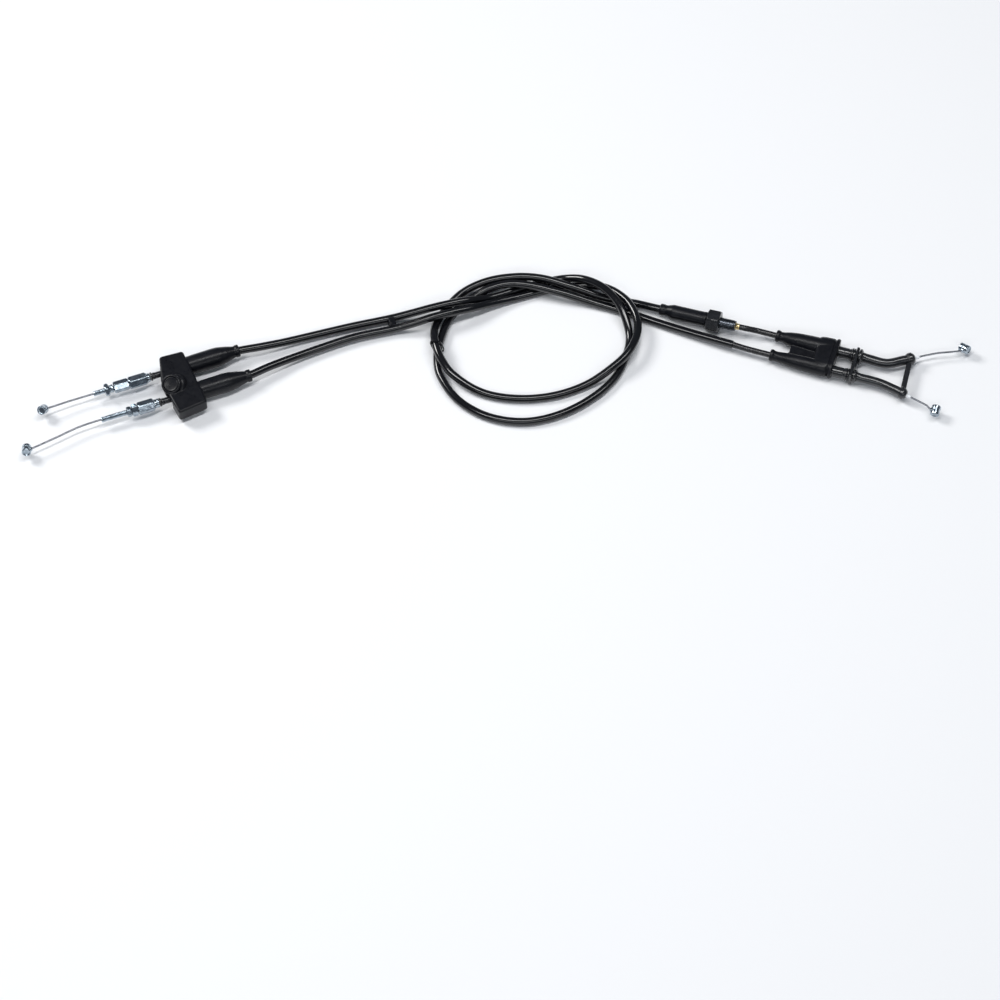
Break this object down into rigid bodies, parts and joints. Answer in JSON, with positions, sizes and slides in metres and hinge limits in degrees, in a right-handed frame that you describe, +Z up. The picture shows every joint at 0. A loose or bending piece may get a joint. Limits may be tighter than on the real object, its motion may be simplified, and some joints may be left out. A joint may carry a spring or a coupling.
{
  "type": "twin throttle cable set",
  "caption": "Push-pull pair of covered motorcycle throttle cables in one large loop, with threaded adjusters, a rubber dust cover, an in-line adjuster, a boot and bent guide tubes.",
  "frame": {"origin": "centre of the base of the set without its two long covered cables, on the surface it lies on", "axes": "+X from the throttle end to the carburettor end, +Y away from the viewer, +Z up"},
  "size_m": [0.6943, 0.1608, 0.0219],
  "materials": {
    "rubber": "satin black moulded rubber",
    "cable_cover": "glossy black vinyl cover",
    "thin_cover": "satin black thin cover",
    "zinc_plate": "bright zinc plating with a blue cast",
    "wire_steel": "stranded steel wire",
    "sleeve_steel": "grey plated steel",
    "brass": "yellow plated brass",
    "liner_white": "white low-friction liner",
    "black_steel": "black plated steel"
  },
  "bodies": {
    "root": {"cable_clip": "rubber", "inline_stem": "brass", "loop_tie": "rubber", "mouth_link": "black_steel", "pull_end_ferrule": "black_steel", "pull_end_nut": "zinc_plate", "pull_front_housing": "thin_cover", "pull_guide_tube": "black_steel", "pull_housing": "cable_cover", "pull_rear_housing": "thin_cover", "pull_tube_liner": "liner_white", "pull_tube_nut": "black_steel", "pull_tube_socket": "black_steel", "return_adjuster_body": "zinc_plate", "return_end_ferrule": "black_steel", "return_front_housing": "thin_cover", "return_guide_tube": "black_steel", "return_housing": "cable_cover", "return_rear_housing": "thin_cover", "return_tube_liner": "liner_white", "return_tube_nut": "black_steel", "return_tube_socket": "black_steel", "tube_bracket": "black_steel"},
    "return_throttle_wire": {"return_throttle_wire": "wire_steel", "return_throttle_barrel": "zinc_plate"},
    "return_carb_wire": {"return_carb_wire": "wire_steel", "return_carb_barrel": "zinc_plate"},
    "pull_throttle_wire": {"pull_throttle_wire": "wire_steel", "pull_throttle_barrel": "zinc_plate"},
    "pull_carb_wire": {"pull_carb_wire": "wire_steel", "pull_carb_barrel": "zinc_plate"},
    "dust_cover": {"dust_cover": "rubber", "dust_cover_plug": "rubber"},
    "carb_boot": {"carb_boot": "rubber"},
    "return_stem": {"return_adjuster_stem": "zinc_plate", "return_thin_nut": "zinc_plate"},
    "return_jam_nut": {"return_jam_nut": "zinc_plate"},
    "return_hex": {"return_adjuster_hex": "zinc_plate"},
    "pull_stem": {"pull_adjuster_stem": "zinc_plate"},
    "pull_jam_nut": {"pull_jam_nut": "zinc_plate"},
    "pull_hex": {"pull_adjuster_hex": "zinc_plate", "pull_thin_nut": "zinc_plate"},
    "inline_barrel": {"inline_sleeve": "sleeve_steel", "inline_boot": "rubber"},
    "inline_collar": {"inline_collar": "black_steel"}
  },
  "joints": [
    {"name": "return_wire_travel", "type": "slide", "parent": "root", "child": "return_throttle_wire", "axis": [-0.9385, -0.3453, 0], "range_m": [-0.012, 0.012]},
    {"name": "return_carb_travel", "type": "slide", "parent": "root", "child": "return_carb_wire", "axis": [0.848, -0.5299, 0], "range_m": [-0.012, 0.012]},
    {"name": "pull_wire_travel", "type": "slide", "parent": "root", "child": "pull_throttle_wire", "axis": [-0.9385, -0.3453, 0], "range_m": [-0.012, 0.012]},
    {"name": "pull_carb_travel", "type": "slide", "parent": "root", "child": "pull_carb_wire", "axis": [0.9681, 0.2504, 0], "range_m": [-0.012, 0.012]},
    {"name": "dust_cover_slide", "type": "slide", "parent": "root", "child": "dust_cover", "axis": [-0.9385, -0.3453, 0], "range_m": [0, 0.042]},
    {"name": "carb_boot_slide", "type": "slide", "parent": "root", "child": "carb_boot", "axis": [-0.9542, 0.299, 0], "range_m": [0, 0.012]},
    {"name": "return_adjuster_travel", "type": "slide", "parent": "root", "child": "return_stem", "axis": [-0.9385, -0.3453, 0], "range_m": [0, 0.008]},
    {"name": "return_adjuster_turn", "type": "hinge", "parent": "root", "child": "return_hex", "pos_m": [-0.2581, -0.0008, 0.0085], "axis": [0.9385, 0.3453, 0], "range_deg": [0, 3601]},
    {"name": "return_jam_nut_turn", "type": "hinge", "parent": "return_stem", "child": "return_jam_nut", "pos_m": [-0.2581, -0.0008, 0.0085], "axis": [0.9385, 0.3453, 0], "range_deg": [-180, 180]},
    {"name": "pull_adjuster_travel", "type": "slide", "parent": "root", "child": "pull_stem", "axis": [-0.9385, -0.3453, 0], "range_m": [0, 0.008]},
    {"name": "pull_adjuster_turn", "type": "hinge", "parent": "root", "child": "pull_hex", "pos_m": [-0.2502, -0.0234, 0.0085], "axis": [0.9385, 0.3453, 0], "range_deg": [0, 3601]},
    {"name": "pull_jam_nut_turn", "type": "hinge", "parent": "pull_stem", "child": "pull_jam_nut", "pos_m": [-0.2502, -0.0234, 0.0085], "axis": [0.9385, 0.3453, 0], "range_deg": [-180, 180]},
    {"name": "inline_adjuster_travel", "type": "slide", "parent": "root", "child": "inline_barrel", "axis": [-0.9499, 0.3069, -0.0588], "range_m": [0, 0.005]},
    {"name": "inline_collar_turn", "type": "hinge", "parent": "inline_barrel", "child": "inline_collar", "pos_m": [0.1569, 0.0495, 0.0083], "axis": [0.9499, -0.3069, 0.0588], "range_deg": [0, 2251]}
  ],
  "couplings": [
    {"joint": "return_carb_travel", "follows": "return_wire_travel", "ratio": -1},
    {"joint": "pull_carb_travel", "follows": "pull_wire_travel", "ratio": -1},
    {"joint": "return_adjuster_turn", "follows": "return_adjuster_travel", "rad_per_m": 7854},
    {"joint": "pull_adjuster_turn", "follows": "pull_adjuster_travel", "rad_per_m": 7854},
    {"joint": "inline_collar_turn", "follows": "inline_adjuster_travel", "rad_per_m": 7854}
  ]
}
